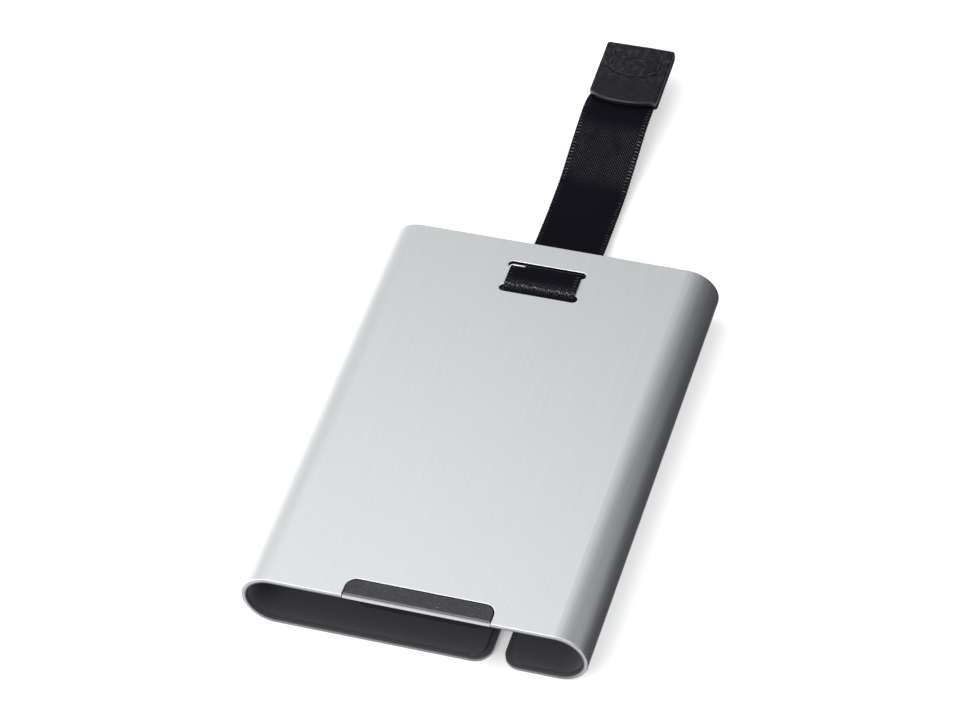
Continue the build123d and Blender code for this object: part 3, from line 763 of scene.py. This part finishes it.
def tip_section(x, seam):
    """One closed outline (u, w) across the folded leather, the same number of points for every x."""
    edge_round = 0.42
    past = max(0.0, (abs(x) - (TIP_HALF - edge_round)) / edge_round)
    shrink = edge_round * (1 - math.sqrt(max(0.0, 1 - past**2)))
    inner, outer = LEAF_INNER + shrink * 0.35, LEAF_INNER + LEAF - shrink
    start = free_end(x) + shrink * 0.7
    steps = 46
    fold_round = 0.85
    outline = []
    for side in (1, -1):
        lift = leaf_relief(x, start, seam, side > 0)
        cut = [(0.12, inner), (0.03, inner + 0.06), (0, inner + 0.16)]
        cut += [(0, outer - 0.36), (0.03, outer - 0.22), (0.10, outer - 0.09), (0.22, outer - 0.02)]
        behind = 0 if side > 0 else 0.8
        half = [(start + behind + u, w + lift) for u, w in cut]
        flat_start = start + behind + 0.36
        flat_end = TIP_FOLD - fold_round - shrink * 0.5
        for k in range(1, steps + 1):
            u = flat_start + (flat_end - flat_start) * k / steps
            half.append((u, outer + leaf_relief(x, u, seam, side > 0)))
        for k in range(1, 6):
            angle = math.pi / 2 * k / 6
            u = flat_end + fold_round * math.sin(angle)
            base = outer + leaf_relief(x, flat_end, seam, side > 0)
            half.append((u, base - fold_round * (1 - math.cos(angle))))
        outline.append([(u, w * side) for u, w in half])
    loop = outline[0] + list(reversed(outline[1]))
    pocket = TIP_FOLD - LEAF
    loop += [(flat_start, -inner), (pocket * 0.6, -inner), (pocket, -inner * 0.6)]
    loop += [(pocket, inner * 0.6), (pocket * 0.6, inner), (flat_start, inner)]
    return loop


def make_tip(hide):
    """Leather folded over the ribbon's end, with a pressed seam, rounded edges and a bowed end."""
    seam = stitch_line(0.4)
    spread = [math.sin(math.pi / 2 * k / 26) * TIP_HALF for k in range(-26, 27)]
    vertices, faces, uvs = [], [], []
    sides = 0
    for x in spread:
        loop = tip_section(x, seam)
        sides = len(loop)
        vertices.extend(tip_point(x, u, w) for u, w in loop)
        near = [max(0.0, 1 - (u - free_end(x)) / 0.5) for u, w in loop]
        uvs.extend((min(1.0, rim), x) for rim in near)
    for ring in range(len(spread) - 1):
        for k in range(sides):
            a, b = ring * sides + k, ring * sides + (k + 1) % sides
            faces.append((a, b, b + sides, a + sides))
    faces.append(tuple(reversed(range(sides))))
    faces.append(tuple(range(len(vertices) - sides, len(vertices))))
    piece = new_piece("tip_folded_leather", vertices, faces, hide, uvs)
    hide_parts("tip_leather")
    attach(piece, "tip")


def stitch(start, end, up, rise, radius):
    """A short two-ply stitch: two thin tubes that twist round each other and dip at both ends."""
    vertices, faces = [], []
    side = (end - start).cross(up).normalized()
    steps = 14
    for ply in (0, math.pi):
        path = []
        for k in range(steps + 1):
            t = k / steps
            arch = math.sin(math.pi * t) ** 0.45 * rise - 0.30 * (1 - math.sin(math.pi * t) ** 0.3)
            spin = ply + t * math.pi * 3
            centre = start.lerp(end, t) + up * arch
            path.append(centre + (side * math.cos(spin) + up * math.sin(spin)) * radius * 0.55)
        more, quads = tube(path, radius * 0.62, 8)
        faces.extend(tuple(index + len(vertices) for index in quad) for quad in quads)
        vertices.extend(more)
    return vertices, faces


def gather(name, parts, material):
    """One piece from many small meshes."""
    vertices, faces = [], []
    for points, quads in parts:
        faces.extend(tuple(index + len(vertices) for index in quad) for quad in quads)
        vertices.extend(points)
    return new_piece(name, vertices, faces, material)


def make_tip_stitches(yarn):
    """The seam on both faces of the tip."""
    route = stitch_line(0.05)
    total = sum((b - a).length for a, b in zip(route, route[1:]))
    count = int(total / STITCH_PITCH)
    per = len(route) / count
    up = Vector((0, -math.sin(TIP_ANGLE), math.cos(TIP_ANGLE)))
    parts = []
    for number in range(count):
        first = route[int((number + 0.10) * per)]
        last = route[min(int((number + 0.90) * per), len(route) - 1)]
        for side in (1, -1):
            height = (LEAF_INNER + LEAF - 0.05) * side
            ends = [tip_point(p.y, p.x, height) for p in (first, last)]
            parts.append(stitch(*ends, up * side, 0.12, 0.17))
    piece = gather("tip_seam_thread", parts, yarn)
    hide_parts("tip_stitching")
    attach(piece, "tip")


def make_anchor_stitches(yarn):
    """Two rows of thread that sew the ribbon's fixed end to itself, under the front plate."""
    low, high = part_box("anchor_stitching")
    under = ANCHOR_END - RIBBON_THICK / 2 - 0.02
    count = 7
    width = (high.x - low.x) / MM
    parts = []
    for y in (low.y / MM + 0.16, high.y / MM - 0.16):
        for number in range(count):
            x = low.x / MM + width * number / count
            ends = (Vector((x + 0.15, y, under)), Vector((x + width / count - 0.15, y, under)))
            parts.append(stitch(*ends, Vector((0, 0, -1)), 0.08, 0.12))
    piece = gather("anchor_seam_thread", parts, yarn)
    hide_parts("anchor_stitching")
    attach(piece, "sleeve")


# ---------------------------------------------------------------- build


def paint(node, material):
    """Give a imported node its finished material."""
    mesh = bpy.data.objects[node].data
    mesh.materials.clear()
    mesh.materials.append(material)


add_camera()
add_floor()
add_world()
add_area("top_softbox", (-0.14, 0.14, 0.42), (0.34, 0.34), 0.22)
add_area("left_softbox", (-0.55, 0.02, 0.27), (0.3, 0.7), 1.7)
add_area("front_fill", (-0.27, -0.78, 0.67), (0.6, 0.5), 5.0)
add_area("right_fill", (0.6, -0.1, 0.9), (0.5, 0.5), 4.0)
add_flag()
bpy.context.scene.view_settings.view_transform = "Standard"

paint("sleeve_shell", aluminium())
paint("inner_lining", lining())
paint("stop_plate", stop_metal())
paint("stop_pad", stop_facing())
make_ribbon(ribbon_cloth())
make_tip(leather())
yarn = thread()
make_tip_stitches(yarn)
make_anchor_stitches(yarn)
